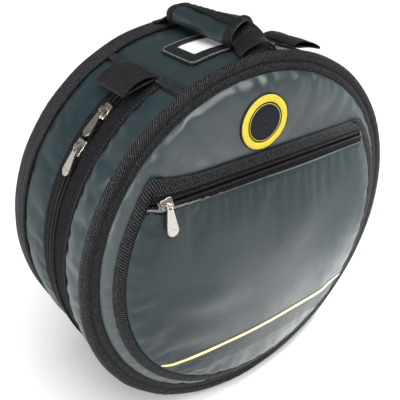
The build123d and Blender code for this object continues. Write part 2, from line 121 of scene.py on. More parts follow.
def off_floor(points, gap=0.0):
    points[..., 2] = np.maximum(points[..., 2], FLOOR + gap)
    return points


def smooth(x):
    x = np.clip(x, 0, 1)
    return x * x * (3 - 2 * x)


def unit(vectors):
    return vectors / np.linalg.norm(vectors, axis=1, keepdims=True)


def squared(out, way):
    """Directions made square to the way."""
    return unit(out - (out * way).sum(1, keepdims=True) * way)


def ripple(angle, seed, low, high, count=9):
    """A soft wave round the bag, about -1 to 1, of low to high waves a turn."""
    rng = np.random.default_rng(seed)
    total = 0.0
    for _ in range(count):
        size, waves, phase = rng.uniform(0.5, 1), rng.integers(low, high), rng.uniform(0, TURN)
        total = total + size * np.cos(waves * np.radians(angle) + phase)
    return total / math.sqrt(count)


def drift(x, z, seed, length, count=7):
    """A soft wave over a flat field, about -1 to 1, with waves about `length` long."""
    rng = np.random.default_rng(seed)
    total = 0.0
    for _ in range(count):
        turn, k = rng.uniform(0, TURN), TURN / (length * rng.uniform(0.7, 1.6))
        total = total + np.cos(k * (x * math.cos(turn) + z * math.sin(turn)) + rng.uniform(0, TURN))
    return total / math.sqrt(count)


def lengths(path):
    steps = np.linalg.norm(np.diff(path, axis=0), axis=1)
    return np.concatenate([[0], np.cumsum(steps)])


def closed(path):
    return np.concatenate([path, path[:1]])


def at_lengths(at, s, path):
    """Points of a path at given lengths along it."""
    return np.stack([np.interp(at, s, column) for column in np.transpose(path)], -1)


def grid(points, along, across, ring=False, tube=False):
    """Vertices, faces and a UV in mm for each corner, from rows and columns of points.
    A ring's rows close up and so do a tube's columns; an open tube gets two caps."""
    rows_in, cols_in = points.shape[:2]
    rows = rows_in if ring else rows_in - 1
    cols = cols_in if tube else cols_in - 1
    i, j = np.meshgrid(np.arange(rows), np.arange(cols), indexing="ij")
    here, ahead = i * cols_in, (i + 1) % rows_in * cols_in
    j2 = (j + 1) % cols_in
    faces = np.stack([here + j, ahead + j, ahead + j2, here + j2], -1)
    u0, u1, v0, v1 = along[i], along[i + 1], across[j], across[j + 1]
    uv = np.stack([u0, v0, u1, v0, u1, v1, u0, v1], -1)
    faces, uv = faces.reshape(-1, 4).tolist(), uv.reshape(-1).tolist()
    if tube and not ring:
        for row in (0, rows_in - 1):
            order = range(cols_in) if row else range(cols_in - 1, -1, -1)
            faces.append([row * cols_in + k for k in order])
            for k in order:
                uv += [along[row], across[k]]
    return points.reshape(-1, 3), faces, uv


def set_all(target, **settings):
    for key, value in settings.items():
        setattr(target, key, value)
    return target


def linked(name, data):
    """A new object in the scene."""
    obj = bpy.data.objects.new(name, data)
    bpy.context.scene.collection.objects.link(obj)
    return obj


def make(name, mesh_parts, material, is_closed=True):
    """A new object from vertices, faces and UVs; a closed one's faces are turned outwards."""
    points, faces, uv = mesh_parts
    mesh = bpy.data.meshes.new(name)
    mesh.from_pydata(world(points).tolist(), [], faces)
    mesh.uv_layers.new(name="mm").data.foreach_set("uv", uv)
    if is_closed:
        bm = bmesh.new()
        bm.from_mesh(mesh)
        bmesh.ops.recalc_face_normals(bm, faces=bm.faces)
        bm.to_mesh(mesh)
        bm.free()
    mesh.polygons.foreach_set("use_smooth", [True] * len(mesh.polygons))
    mesh.materials.append(material)
    return linked(name, mesh)


def tube(name, points, along, section, material, ring=False):
    """Rows of points round one section, as a closed object."""
    return make(name, grid(points, along, lengths(closed(section)), ring, tube=True), material)


def even_sheet(name, points, width, material, side):
    """An open sheet of even cells that faces the lid's side (-1) or the back (1)."""
    marks = np.linspace(0, width, len(points))
    obj = make(name, grid(points, marks, marks), material, is_closed=False)
    if side > 0:
        obj.data.flip_normals()
    return obj


def coords(obj):
    co = np.zeros(len(obj.data.vertices) * 3, np.float32)
    obj.data.vertices.foreach_get("co", co)
    return co.reshape(-1, 3).astype(float)


def set_coords(obj, co):
    obj.data.vertices.foreach_set("co", co.astype(np.float32).ravel())
    obj.data.update()


def relax(obj, held, pressure, growth, cap, frames=20):
    """Lets a sewn cover swell and wrinkle as cloth: held points stay, moves are capped."""
    start = coords(obj)
    group = obj.vertex_groups.new(name="held")
    for weight in (1.0, 0.5):
        group.add(np.flatnonzero(np.isclose(held.ravel(), weight)).tolist(), weight, "REPLACE")
    cloth = obj.modifiers.new("cloth", "CLOTH")
    set_all(cloth.settings, quality=6, mass=0.25, tension_stiffness=25, compression_stiffness=25,
            shear_stiffness=8, bending_stiffness=0.6, vertex_group_mass="held", use_pressure=True,
            uniform_pressure_force=pressure, shrink_min=-growth)
    cloth.settings.effector_weights.gravity = 0
    cloth.collision_settings.use_collision = False
    set_all(cloth.point_cache, frame_start=1, frame_end=frames)
    for f in range(1, frames + 1):
        bpy.context.scene.frame_set(f)
    move = coords(obj.evaluated_get(bpy.context.evaluated_depsgraph_get())) - start
    obj.modifiers.clear()
    obj.vertex_groups.clear()
    bpy.context.scene.frame_set(1)
    size = np.linalg.norm(move, axis=1, keepdims=True)
    limit = cap * MM
    move *= limit * np.tanh(size / limit) / np.maximum(size, 1e-9)
    set_coords(obj, start + move)


def sewn(obj, sheet=SHEET):
    """Keeps one subdivision and the cover's thickness, laid inwards, as the mesh."""
    set_all(obj.modifiers.new("finer", "SUBSURF"), levels=1, render_levels=1)
    if sheet:
        set_all(obj.modifiers.new("sheet", "SOLIDIFY"), thickness=sheet * MM, offset=-1.0,
                use_even_offset=False)
    graph = bpy.context.evaluated_depsgraph_get()
    old, obj.data = obj.data, bpy.data.meshes.new_from_object(obj.evaluated_get(graph))
    obj.modifiers.clear()
    bpy.data.meshes.remove(old)
    return obj


# The front of the gusset and of the top panel bend between the body and the lid; this tuple names
# both bodies and two places, and pieces on it are only baked in place
OPENING = ("body", "lid", *world([(0, -42.7, 199), (0, -81.1, 182.1)]))


def place(obj, body, slot, *nodes):
    """The piece rides a body; where body is (from, to, start place, end place), its transform is
    only baked in.
    """
    if isinstance(body, tuple):
        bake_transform(obj)
    else:
        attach(obj, body)
    if nodes:
        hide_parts(*nodes)
    return obj


def swept(path, section, up, ring=False):
    """A section of (side, out) points drawn along a path; `up` gives the out direction."""
    way = unit(np.roll(path, -1, 0) - np.roll(path, 1, 0) if ring else np.gradient(path, axis=0))
    out = squared(np.asarray(up), way)
    side = np.cross(way, out)
    section = np.asarray(section, float)
    if section.ndim == 2:
        section = np.broadcast_to(section, (len(path),) + section.shape)
    points = path[:, None] + section[..., :1] * side[:, None] + section[..., 1:] * out[:, None]
    along = lengths(closed(path) if ring else path)
    return grid(points, along, lengths(closed(section[0])), ring, tube=True)


def rounded(half_long, half_wide, corner, steps):
    """A rounded rectangle round the origin."""
    points = []
    for cx, cy, start in ((1, 1, 0), (-1, 1, 90), (-1, -1, 180), (1, -1, 270)):
        for a in np.radians(start + np.linspace(0, 90, steps)):
            points.append((cx * (half_long - corner) + corner * math.cos(a),
                           cy * (half_wide - corner) + corner * math.sin(a)))
    return np.array(points)


def oblong(width, height, corner):
    """A rounded rectangle as (side, out) points, its foot at out = 0."""
    corner = min(corner, width / 2, height / 2)
    return rounded(width / 2, height / 2, corner, 4) + (0, height / 2)


def filled(section, gap=5.0):
    """Adds points to a closed section, so that the piece can bend across its width."""
    section = np.asarray(section, float)
    points = []
    for a, b in zip(section, np.roll(section, -1, axis=0)):
        count = math.ceil(np.linalg.norm(b - a) / gap - 1e-6)
        points += [a + (b - a) * k / count for k in range(count)]
    return np.array(points)


# A stitch's rings: place along its length, size and rise as shares of its thickness
STITCH = ((-0.5, 0.25, -0.5), (-0.36, 0.9, 0.0), (0, 1.0, 0.25), (0.36, 0.9, 0.0),
          (0.5, 0.25, -0.5))
SIDES = 6


def stitches(name, lines, pitch=4.2, long=3.0, thick=0.45):
    """Small thread stitches along lines given as (path, outward directions)."""
    turn = np.linspace(0, TURN, SIDES, endpoint=False)
    cos, sin = np.cos(turn)[None, :, None], 0.75 * np.sin(turn)[None, :, None]
    points = []
    for path, outward in lines:
        s = lengths(path)
        count = max(2, int(s[-1] / pitch))
        at = (np.arange(count) + 0.5) * s[-1] / count
        centre = at_lengths(at, s, path)
        way = unit(at_lengths(at + 0.5, s, path) - at_lengths(at - 0.5, s, path))
        outward = np.broadcast_to(outward, path.shape)
        out = at_lengths(np.linspace(0, 1, count), np.linspace(0, 1, len(path)), outward)
        out = squared(out, way)
        ring = cos * np.cross(way, out)[:, None] + sin * out[:, None]
        rows = [(centre + way * share * long + out * (rise * thick))[:, None] + thick * size * ring
                for share, size, rise in STITCH]
        points += list(np.stack(rows, 1))
    flat = np.zeros(SIDES + 1)
    _, one, uv = grid(points[0], flat, flat, tube=True)
    size = len(STITCH) * SIDES
    faces = [[base * size + k for k in face] for base in range(len(points)) for face in one]
    return make(name, (np.concatenate(points), faces, uv * len(points)), THREAD)


# --- materials ---

def rgba(value):
    return (*value, 1) if isinstance(value, tuple) else value


def shader(name, color, roughness, metallic=0.0, gloss=0.5, **sockets):
    material = bpy.data.materials.new(name)
    material.use_nodes = True
    tree = material.node_tree
    bsdf = tree.nodes["Principled BSDF"]
    bsdf.inputs["Base Color"].default_value = rgba(color)
    bsdf.inputs["Roughness"].default_value = roughness
    bsdf.inputs["Metallic"].default_value = metallic
    bsdf.inputs["Specular IOR Level"].default_value = gloss
    for key, value in sockets.items():
        bsdf.inputs[key.replace("_", " ")].default_value = value
    material.diffuse_color = rgba(color)
    return material, bsdf


def feed(node, inputs):
    """Sets or links a node's inputs."""
    for key, value in inputs.items():
        if isinstance(value, bpy.types.NodeSocket):
            node.id_data.links.new(value, node.inputs[key])
        else:
            node.inputs[key].default_value = value


def add(kind, inputs, **settings):
    """A new node in the tree that its inputs come from."""
    tree = next(value.id_data for value in inputs.values() if hasattr(value, "id_data"))
    node = set_all(tree.nodes.new(kind), **settings)
    feed(node, inputs)
    return node


def coordinates(tree, kind="Object"):
    return tree.nodes.new("ShaderNodeTexCoord").outputs[kind]


def ramp(value, *stops):
    node = add("ShaderNodeValToRGB", {"Fac": value})
    for element, (position, color) in zip(node.color_ramp.elements, stops):
        element.position = position
        element.color = rgba(color)
    return node.outputs["Color"]


def mixed(factor, a, b):
    inputs = {0: factor, 6: rgba(a), 7: rgba(b)}
    return add("ShaderNodeMix", inputs, data_type="RGBA").outputs[2]


def maths(operation, a, b):
    return add("ShaderNodeMath", {0: a, 1: b}, operation=operation).outputs[0]


def noise(where, scale, detail=4.0, rough=0.55, distortion=0.0):
    return add("ShaderNodeTexNoise", {
        "Vector": where, "Scale": scale, "Detail": detail, "Roughness": rough,
        "Distortion": distortion}).outputs["Fac"]


def stretched(where, scale, turn=0.0):
    inputs = {"Vector": where, "Scale": scale, "Rotation": (0, 0, turn)}
    return add("ShaderNodeMapping", inputs).outputs[0]


def bands(where, period, direction="X", **inputs):
    inputs = {"Vector": where, "Scale": 0.314 / period, **inputs}
    return add("ShaderNodeTexWave", inputs, wave_type="BANDS",
               bands_direction=direction).outputs["Fac"]


def patches(value, low, high):
    """Roughness from low to high, in patches."""
    return add("ShaderNodeMapRange", {"Value": value, "From Min": 0.3, "From Max": 0.7,
                                      "To Min": low, "To Max": high}).outputs[0]


def bumps(*layers):
    """Bump layers of (height, strength, distance in mm), finest last."""
    inputs = {}
    for height, strength, distance in layers:
        inputs.update({"Height": height, "Strength": strength, "Distance": distance * MM})
        inputs["Normal"] = add("ShaderNodeBump", inputs).outputs["Normal"]
    return inputs["Normal"]


def coated_fabric(name, dark, light, rough=(0.34, 0.5), gloss=0.5, crease=0.5):
    """Coated cloth: satin, faintly mottled, a fine weave under the coat, soft creases."""
    material, bsdf = shader("coated_fabric" + name, light, 0.42, gloss=gloss,
                            Coat_Weight=0.24 * gloss, Coat_Roughness=0.3)
    where = coordinates(bsdf.id_data)
    broad = maths("MULTIPLY", noise(where, 9, 3), 0.65)
    fine = maths("MULTIPLY", noise(where, 160, 5), 0.35)
    weave = add("ShaderNodeTexVoronoi", {"Vector": where, "Scale": 1150.0}).outputs["Distance"]
    creases = noise(where, 42, 5, 0.6, 0.8)
    soft = noise(where, 13, 3, 0.5, 0.4)
    feed(bsdf, {
        "Base Color": ramp(maths("ADD", broad, fine), (0.32, dark), (0.68, light)),
        "Roughness": patches(noise(where, 34, 4), *rough),
        "Normal": bumps((soft, crease * 0.5, 3.0), (creases, crease * 0.35, 0.8),
                        (weave, 0.16, 0.12))})
    return material


def webbing(name, dark, light, period, speck, rough=0.62, turn=0.785, rib=0.0, gloss=0.12):
    """Woven band: twill lines along its own length, with light specks of thread."""
    material, bsdf = shader(name, dark, rough, gloss=gloss)
    uv = coordinates(bsdf.id_data, "UV")
    uneven = {"Distortion": 1.6, "Detail": 2.0, "Detail Scale": 3.0}
    twill = bands(stretched(uv, (1, 1, 1), turn), period, **uneven)
    grain = noise(stretched(uv, (0.5, 1.3, 1.0), turn), 1.0, 2, 0.6)
    fleck = ramp(grain, (speck, (0, 0, 0)), (speck + 0.09, (1, 1, 1)))
    lines = ramp(twill, (0.58, (0, 0, 0)), (0.9, (1, 1, 1)))
    flecks = maths("ADD", maths("MULTIPLY", fleck, 0.8), 0.2)
    worn = noise(stretched(uv, (0.02, 0.05, 1.0)), 1.0, 3)
    base = mixed(worn, tuple(0.72 * c for c in dark), tuple(1.45 * c for c in dark))
    heights = [(twill, 0.5, 0.35), (grain, 0.3, 0.3)]
    if rib:
        heights.insert(0, (bands(uv, rib, "Y"), 0.6, 0.5))
    feed(bsdf, {"Base Color": mixed(maths("MULTIPLY", flecks, lines), base, light),
                "Normal": bumps(*heights)})
    return material


def metal(name, color, rough):
    """Plated casting: polished, with faint cloudiness and handling marks."""
    material, bsdf = shader(name, color, rough, 1.0)
    where = coordinates(bsdf.id_data)
    feed(bsdf, {
        "Base Color": mixed(noise(where, 90, 2), tuple(0.86 * c for c in color), color),
        "Roughness": patches(noise(where, 260, 4), rough * 0.75, rough * 1.5),
        "Normal": bumps((noise(where, 420, 3), 0.12, 0.2))})
    return material


def plain(name, dark, light, rough, scale, bump=0.2, depth=0.2, **sockets):
    """A finish with a grain at one scale, for foam, lining, coil, thread and card."""
    material, bsdf = shader(name, light, rough, **sockets)
    grain = noise(coordinates(bsdf.id_data), scale, 4)
    feed(bsdf, {"Base Color": ramp(grain, (0.35, dark), (0.65, light)),
                "Normal": bumps((grain, bump, depth))})
    return material


FABRIC = coated_fabric("", (0.015, 0.026, 0.029), (0.026, 0.041, 0.045), gloss=0.78)
# A darker, less glossy copy of the panel fabric for the gusset and top panel: painted shade.
GUSSET_FABRIC_PAINTED_SHADE = coated_fabric("_gusset", (0.012, 0.022, 0.025), (0.021, 0.034, 0.038),
                              (0.3, 0.42), 0.3, 0.7)
# A still duller, slightly darker copy for the back gusset: painted shade for the darker side of the
# bag.
BACK_FABRIC_PAINTED_SHADE = coated_fabric("_back_gusset", (0.012, 0.022, 0.025), (0.020, 0.033, 0.037),
                            (0.34, 0.46), 0.1, 0.7)
POCKET_FABRIC = coated_fabric("_pocket", (0.013, 0.023, 0.026), (0.021, 0.034, 0.038), gloss=0.31)
# A light grey, glossier copy of the fabric for the pocket's rolled fold: a painted highlight along
# the edge.
FOLD_HIGHLIGHT_FABRIC = coated_fabric("_edge", (0.07, 0.085, 0.09), (0.14, 0.155, 0.16), (0.25, 0.35))
GRIP_FABRIC = coated_fabric("_grip", (0.010, 0.019, 0.021), (0.017, 0.028, 0.031),
                            (0.36, 0.5), 0.3)
BAND = webbing("rim_webbing", (0.003, 0.003, 0.0035), (0.085, 0.085, 0.09), 2.0, 0.46)
TAPE = webbing("zipper_tape", (0.0035, 0.0035, 0.004), (0.045, 0.045, 0.048), 1.7, 0.46, 0.8,
               gloss=0.03)
STRAP = webbing("strap_webbing", (0.003, 0.003, 0.0035), (0.05, 0.05, 0.053), 1.8, 0.47, 0.5,
                0.6, 2.6)
YELLOW = webbing("badge_yellow", (0.70, 0.56, 0.035), (0.86, 0.74, 0.16), 0.9, 0.4, 0.55, 0.0)
TRIM = plain("dark_trim", (0.005, 0.006, 0.007), (0.010, 0.012, 0.013), 0.5, 240, 0.3, gloss=0.3)
PIPING = plain("piping", (0.10, 0.115, 0.12), (0.19, 0.205, 0.21), 0.45, 300)
FOAM = plain("foam_padding", (0.50, 0.49, 0.45), (0.64, 0.62, 0.57), 0.95, 900, 0.6, 0.5)
LINING = plain("tricot_lining", (0.016, 0.016, 0.018), (0.036, 0.036, 0.04), 0.9, 1400, 0.4,
               Sheen_Weight=0.3)
COIL = plain("coil_plastic", (0.004, 0.004, 0.004), (0.010, 0.010, 0.011), 0.35, 500, 0.1, 0.1,
             gloss=0.35)
THREAD = plain("dark_thread", (0.012, 0.013, 0.014), (0.045, 0.047, 0.05), 0.7, 1500, 0.4, 0.1,
               gloss=0.25)
CARD = plain("white_card", (0.80, 0.80, 0.79), (0.88, 0.88, 0.87), 0.6, 700, 0.1, 0.05)
NAVY = plain("badge_navy", (0.002, 0.003, 0.008), (0.006, 0.008, 0.016), 0.7, 900, 0.5, 0.25,
             gloss=0.25)
CREAM = plain("stripe_cream", (0.84, 0.74, 0.28), (0.92, 0.86, 0.52), 0.45, 400, 0.15, 0.1)
# A dark olive band that shows either side of the cream stripe: painted shadow along its edges.
STRIPE_SHADOW = plain("stripe_painted_shadow", (0.05, 0.05, 0.02), (0.09, 0.085, 0.03), 0.5, 400)
NICKEL = metal("nickel", (0.70, 0.655, 0.59), 0.2)
FILM, film_bsdf = shader("clear_film", (0.95, 0.97, 0.97), 0.08, Alpha=0.1)
feed(film_bsdf, {"Normal": bumps((noise(coordinates(FILM.node_tree), 30, 2), 0.3, 0.6))})

# --- camera ---
camera = linked("camera", bpy.data.cameras.new("camera"))
right = Vector((0.8117, -0.5841, 0)).normalized()
back = Vector((-0.5006, -0.6956, 0.5153)).normalized()
eye = world((-349.6, -467.5, 361.2))[0]
camera.matrix_world = Matrix([*zip(right, back.cross(right), back, eye), (0, 0, 0, 1)])
set_all(camera.data, sensor_width=36.0, lens=52.46, clip_start=0.02, clip_end=50)
bpy.context.scene.camera = camera

# --- rim bands ---

def rim_band(name, side, profile, joint_angle, seed):
    """Folded webbing over a rim: its inner edge draws in a little between stitches, and
    its ends overlap at the joint. The profile is of (radius, distance from the middle)."""
    angles = (np.arange(540) / 540 * 360)[:, None]
    profile = np.array(profile)
    r, h = profile.T
    inner_edge = np.clip((FACE_INNER + 3 - r) / 3, 0, 1)
    overlap = smooth((6 - np.abs((angles - joint_angle + 180) % 360 - 180)) / 0.6)
    radius = r + 0.45 * ripple(angles, seed, 70, 130, 12) * inner_edge
    radius = radius + 0.25 * ripple(angles, seed + 2, 6, 26) * (r > 190)
    stand = h + 0.22 * ripple(angles, seed + 1, 60, 120, 12) * (h > HALF - 1)
    stand = stand + 0.7 * overlap * (h > HALF - 2)
    points = off_floor(polar(angles, radius, side * stand))
    return tube(name, points, np.radians(np.append(angles, 360)) * RIM, profile, BAND, ring=True)


FRONT_PROFILE = [
    (185, 79.7), (184.6, 80.2), (185, 80.9), (187, 81.8), (189.4, 82.1), (191.6, 81.8),
    (192.8, 81.1), (193.5, 79.9), (194.3, 79.9), (195, 81), (196.6, 81.9), (198.8, 82.1),
    (200.9, 81.6), (202.4, 80.5), (203.1, 79.2), (203.3, 77.7), (203.1, 76.2), (202.5, 75),
    (201.5, 74.5), (199.6, 74.6), (198.6, 75.2), (198.5, 77), (198.5, 79.5), (193, 79.5),
    (188, 79.5)]
BACK_PROFILE = FRONT_PROFILE[:15] + [
    (203.4, 77), (203.3, 73), (203.2, 69), (203, 66.2), (202.5, 65.2), (202.3, 64.8),
    (202.6, 64.3), (203, 63.2), (203.1, 61), (202.9, 59.2), (202, 58), (200.4, 57.8),
    (199, 58.2), (198.5, 59.2), (198.5, 66), (198.5, 73), (198.5, 79.5), (193, 79.5),
    (188, 79.5)]


def ring_line(radius, y, outward, start=0.0, end=360.0):
    """A line round the bag for stitches, kept off the floor: outward along the axis (-1
    or 1) or away from it (0)."""
    angles = np.linspace(start, end, int((end - start) / 0.5))
    path = off_floor(polar(angles, radius, y), 0.4)
    return path, polar(angles, 1.0, 0.0) if outward == 0 else (0, outward, 0)


def rim_edge_line(radius, y):
    """A full turn of stitches that stops where the rim rests on the floor."""
    path, face = ring_line(radius, y, 0)
    keep = path[:, 2] > FLOOR + 1.5
    order = np.roll(np.arange(len(path)), -np.argmax(~keep))
    order = order[keep[order]]
    return path[order], face[order]


for word, side, body, profile, joint_angle, seed in (
        ("front", -1, "lid", FRONT_PROFILE, 183.0, 11),
        ("back", 1, "body", BACK_PROFILE, 178.0, 23)):
    band = rim_band(word + "_rim_webbing", side, profile, joint_angle, seed)
    place(band, body, "black_webbing", word + "_rim_band")
    seams = [ring_line(186.9, side * 81.85, side), ring_line(200.6, side * 81.8, side),
             rim_edge_line(203.2, side * 76.2)]
    if side > 0:
        seams += [rim_edge_line(203.0, 62.6), rim_edge_line(203.0, 66.8)]
    place(stitches(word + "_rim_stitches", seams), body, "black_webbing")

# --- round panels ---

def disc(cells, radius):
    """A round sheet of even cells, as x and z."""
    k = np.linspace(-1, 1, cells + 1)
    a, b = np.meshgrid(k, k, indexing="ij")
    return radius * a * np.sqrt(1 - b * b / 2), radius * b * np.sqrt(1 - a * a / 2)


def round_cover(name, side, seed):
    """A cover of an end panel, puffed up to its rim and puckered along its seam."""
    x, z = disc(92, COVER_R)
    r, a = np.hypot(x, z), np.degrees(np.arctan2(x, z)) % 360
    t = np.clip((COVER_R - r) / 17, 0, 1)
    h = 79.3 + (PLATEAU - 79.6) * np.sqrt(np.maximum(0, 1 - (1 - t) ** 2))
    in_from_seam = np.clip(183.5 - r, 0, None)
    near = np.exp(-in_from_seam / 7.5) * smooth((186.4 - r) / 2.5)
    h += 0.95 * ripple(a, seed, 38, 90, 12) * near
    wide = np.exp(-in_from_seam / 16) * smooth((186.4 - r) / 4)
    h += 0.8 * ripple(a, seed + 1, 14, 36, 8) * wide
    h += 0.7 * drift(x, z, seed + 2, 150) * smooth((180 - r) / 25)
    held = (r > 184.4).astype(float)
    if side < 0:
        under_pocket = (r < POCKET_R + 1.0) & (z < MOUTH_Z + 4)
        h = np.where(under_pocket, PLATEAU - 0.4, h)
        held[under_pocket] = 1.0
    obj = even_sheet(name, np.stack([x, side * h, z], -1), 370, FABRIC, side)
    relax(obj, held, 1.6, 0.010, 6.0)
    return sewn(obj)


front_cover = place(round_cover("front_cover", -1, 5), "lid", "coated_fabric", "front_panel")
back_cover = place(round_cover("back_cover", 1, 8), "body", "coated_fabric", "back_panel")

# --- gusset ---

def gusset_cover(name, material, near, far, bulge, start, end, seed, flat_zones=()):
    """A strip of the cover round the bag, tucked under its neighbours at both edges. It
    is flat in zones of (low angle, high angle, low y, high y)."""
    base = GUSSET - 0.1
    long, wide = math.radians(end - start) * GUSSET, abs(far - near)
    rows, cols = int(long / 4.5), 14
    angles = np.linspace(start, end, rows)[:, None]
    across = np.linspace(0, 1, cols)
    y = near + (far - near) * across
    edge = np.exp(-np.minimum(across, 1 - across) * wide / 7.0)
    r = base + bulge * np.sqrt(np.maximum(0, 1 - (2 * across - 1) ** 2))
    r = r + 0.55 * ripple(angles, seed, 40, 95, 12) * edge * (edge < 0.97)
    r = r + 0.45 * ripple(angles + 3 * across, seed + 1, 16, 44, 10) * np.sin(math.pi * across)
    r = base + (r - base) * smooth(np.minimum(angles - start, end - angles) / 2.0)
    points = off_floor(polar(angles, r, y), 0.2)
    held = np.zeros((rows, cols))
    held[:, 0] = held[:, -1] = 1
    for low_angle, high_angle, low_y, high_y in flat_zones:
        under = (angles > low_angle) & (angles < high_angle) & (y > low_y) & (y < high_y)
        held[under] = 1
        points = np.where(under[..., None], polar(angles, base, y), points)
    held[:2] = held[-2:] = 1
    held[points[..., 2] < FLOOR + 4.5] = 1
    strip = grid(points, np.linspace(0, long, rows), np.linspace(0, wide, cols))
    obj = make(name, strip, material, is_closed=False)
    relax(obj, held, 2.2, 0.02, 3.0)
    co = coords(obj)
    co[:, 2] = np.maximum(co[:, 2], 0.2 * MM)
    set_coords(obj, co)
    return sewn(obj)


ZIP_ARC = (OPEN_ANGLE, 360 - OPEN_ANGLE)
front_gusset = gusset_cover("front_gusset_cover", GUSSET_FABRIC_PAINTED_SHADE, -76.5, -39.0, 2.4, *ZIP_ARC, 31)
place(front_gusset, OPENING, "coated_fabric", "front_gusset")
back_gusset = gusset_cover("back_gusset_cover", BACK_FABRIC_PAINTED_SHADE, 5.5, 60.0, 2.6, *ZIP_ARC, 37)
place(back_gusset, "body", "coated_fabric", "back_gusset")
UNDER_WINDOW = [(-16.5, 16.5, -49.0, 21.0), (16.0, 25.0, -36.0, 10.0)]
top_cover = gusset_cover("top_cover", GUSSET_FABRIC_PAINTED_SHADE, -77.0, 62.0, 1.2, -TOP_ANGLE, TOP_ANGLE, 41,
                         UNDER_WINDOW)
place(top_cover, OPENING, "coated_fabric", "top_panel")


def lined_arc(name, material, outer, inner, front, back, start, end):
    """A plain layer round the gusset with soft corners."""
    angles = np.linspace(start, end, int((end - start) / 1.4))[:, None]
    section = filled(oblong(back - front, outer - inner, 0.8))
    radius = inner + section[:, 1] + 0.15 * ripple(angles, 51, 10, 40)
    points = polar(angles, radius, (front + back) / 2 + section[:, 0])
    return tube(name, points, np.radians(angles[:, 0] - start) * outer, section, material)


def turned_layer(name, material, side, depth, sheet, edge, inset, seed):
    """A round layer under an end panel; its raised middle starts `inset` further in."""
    x, z = disc(60, edge)
    r = np.hypot(x, z)
    h = 79.1 - depth + smooth((184 - inset - r) / 8) * 10.9
    h += 0.25 * drift(x, z, seed, 90) * smooth((edge - r) / 20)
    return sewn(even_sheet(name, np.stack([x, side * h, z], -1), 2 * edge, material, side), sheet)


for side, body, word in ((1, "body", "back"), (-1, "lid", "front")):
    foam = turned_layer(word + "_foam_disc", FOAM, side, 4.4, 4.9, 196.0, 0.0, 61)
    place(foam, body, "padding", word + "_padding")
    lining = turned_layer(word + "_lining_disc", LINING, side, 9.9, 0.8, 187.2, 5.6, 63)
    place(lining, body, "lining", word + "_lining")
for piece_word, material, slot, outer, inner, deep in (
        ("foam", FOAM, "padding", 195.4, 188.5, 69.0),
        ("lining_band", LINING, "lining", 188.2, 187.4, 68.2)):
    for word, body, front, back, start, end in (
            ("back_gusset_", "body", CHAIN_Y + 0.2, deep, OPEN_ANGLE + 0.3, 359.7 - OPEN_ANGLE),
            ("front_gusset_", OPENING, -deep, CHAIN_Y - 0.2, OPEN_ANGLE + 0.3, 359.7 - OPEN_ANGLE),
            ("top_", OPENING, -deep, deep, 0.2 - OPEN_ANGLE, OPEN_ANGLE - 0.2)):
        layer = lined_arc(word + piece_word, material, outer, inner, front, back, start, end)
        place(layer, body, slot, word + slot)

# --- main zipper ---

def tape(name, section, seed):
    """Zipper tape round the gusset from a section of (y, radius)."""
    angles = np.linspace(*ZIP_ARC, 560)[:, None]
    section = filled(section)
    wave = 0.18 * ripple(angles, seed, 20, 60) * smooth(np.abs(section[:, 0] - CHAIN_Y) / 20)
    points = off_floor(polar(angles, section[:, 1] + wave, section[:, 0]), 0.1)
    return tube(name, points, np.radians(angles[:, 0]) * RIM, section, TAPE)


FRONT_FOLD = [(-12.8, TAPE_IN), (-12.8, TAPE_OUT), (-26.85, 199.45), (-37.5, 199.4),
              (-39.2, 199.8), (-40.39, 199.6), (-40.9, 199), (-40.9, TAPE_IN), (-26.85, TAPE_IN)]
BACK_FOLD = [(-11.2, TAPE_IN), (-11.2, TAPE_OUT), (-4.8, TAPE_OUT), (-4.5, 200.3), (-3.4, 200.75),
             (-1, 200.6), (3.5, 200.55), (6.8, 200.6), (8, 200.2), (8.3, 199.4),
             (8.3, TAPE_IN), (-2, TAPE_IN)]
for word, body, fold, seed, seams in (
        ("front", OPENING, FRONT_FOLD, 71, [(199.85, -37.6), (199.85, -39.6)]),
        ("back", "body", BACK_FOLD, 73, [(200.8, -3.0)])):
    place(tape(word + "_tape", fold, seed), body, "black_webbing", word + "_zipper_tape")
    lines = [ring_line(radius, y, 0, OPEN_ANGLE + 1, 359 - OPEN_ANGLE) for radius, y in seams]
    place(stitches(word + "_tape_stitches", lines, 3.6, 2.6, 0.38), body, "black_webbing")


def coil_loops(frame_at, long, pitch, width, height, wire, offset, side):
    """A helix of coil wire; frame_at gives (point, across, outward) for a place along it."""
    t = np.arange(int(long / pitch) * 10 + 1) / 10
    phase = TURN * t
    across = side * (offset + (width - wire) / 2 * np.cos(phase))
    out = (height - wire) / 2 * (1 + np.sin(phase))
    centre, axis, outward = frame_at(t * pitch + 0.28 * pitch * np.sin(phase))
    path = centre + across[:, None] * axis + (out + wire / 2)[:, None] * outward
    ring = np.radians(np.arange(6) * 60)
    section = wire / 2 * np.stack([np.cos(ring), np.sin(ring)], -1)
    return swept(path, section, outward + 0.3 * np.asarray(axis))


def gusset_frame(s):
    angle = OPEN_ANGLE + 1.6 + np.degrees(s / COIL_R)
    return polar(angle, COIL_R + 0.05, CHAIN_Y), (0.0, 1.0, 0.0), polar(angle, 1.0, 0.0)


chain_long = math.radians(360 - 2 * OPEN_ANGLE - 3.2) * COIL_R
MAIN_COIL = (2.5, 3.3, 2.1, 0.95, 2.75)
for word, body, side in (("back", "body", 1), ("front", OPENING, -1)):
    coil = make(word + "_coil", coil_loops(gusset_frame, chain_long, *MAIN_COIL, side), COIL)
    place(coil, body, "zipper_coil", word + "_zipper_coil")

# --- cross seams ---

